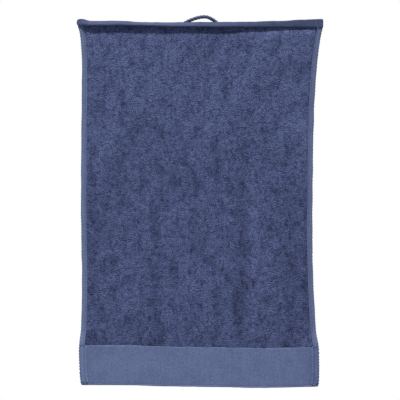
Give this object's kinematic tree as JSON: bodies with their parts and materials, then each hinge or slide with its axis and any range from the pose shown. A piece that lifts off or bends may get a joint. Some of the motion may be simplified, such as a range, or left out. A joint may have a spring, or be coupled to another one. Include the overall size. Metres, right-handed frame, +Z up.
{
  "type": "golf towel",
  "caption": "Hanging terry golf towel with a flat-woven border at the foot, stitched hems and a twisted cord loop behind the top hem; folds in half.",
  "frame": {"origin": "underside of the cord loop at its top, where a hook or clip bears", "axes": "+Z up along the hanging towel, +X across it, the front faces -Y"},
  "size_m": [0.4066, 0.012, 0.615],
  "materials": {
    "terry_pile": "matte",
    "flat_weave": "matte",
    "hem_cloth": "matte",
    "sewing_thread": "satin",
    "loop_cord": "satin"
  },
  "bodies": {
    "upper_cloth": {"terry_field_upper": "terry_pile", "left_side_hem_upper": "hem_cloth", "right_side_hem_upper": "hem_cloth", "left_hem_stitching_upper": "sewing_thread", "right_hem_stitching_upper": "sewing_thread", "top_hem": "hem_cloth", "top_hem_stitching": "sewing_thread", "top_left_corner_tack": "sewing_thread", "top_right_corner_tack": "sewing_thread", "left_loop_end": "loop_cord", "right_loop_end": "loop_cord", "left_loop_tack": "sewing_thread", "right_loop_tack": "sewing_thread"},
    "lower_cloth": {"terry_field_lower": "terry_pile", "left_side_hem_lower": "hem_cloth", "right_side_hem_lower": "hem_cloth", "left_hem_stitching_lower": "sewing_thread", "right_hem_stitching_lower": "sewing_thread", "woven_border": "flat_weave", "bottom_hem": "hem_cloth", "bottom_hem_stitching": "sewing_thread", "bottom_left_corner_tack": "sewing_thread", "bottom_right_corner_tack": "sewing_thread"},
    "loop": {"hanging_loop": "loop_cord"}
  },
  "joints": [
    {"name": "fold_in_half", "type": "hinge", "parent": "upper_cloth", "child": "lower_cloth", "pos_m": [0, -0.003, -0.306], "axis": [-1, 0, 0], "range_deg": [0, 175]},
    {"name": "loop_swing", "type": "hinge", "parent": "upper_cloth", "child": "loop", "pos_m": [0, 0.0051, -0.0108], "axis": [-1, 0, 0], "range_deg": [0, 140]}
  ]
}
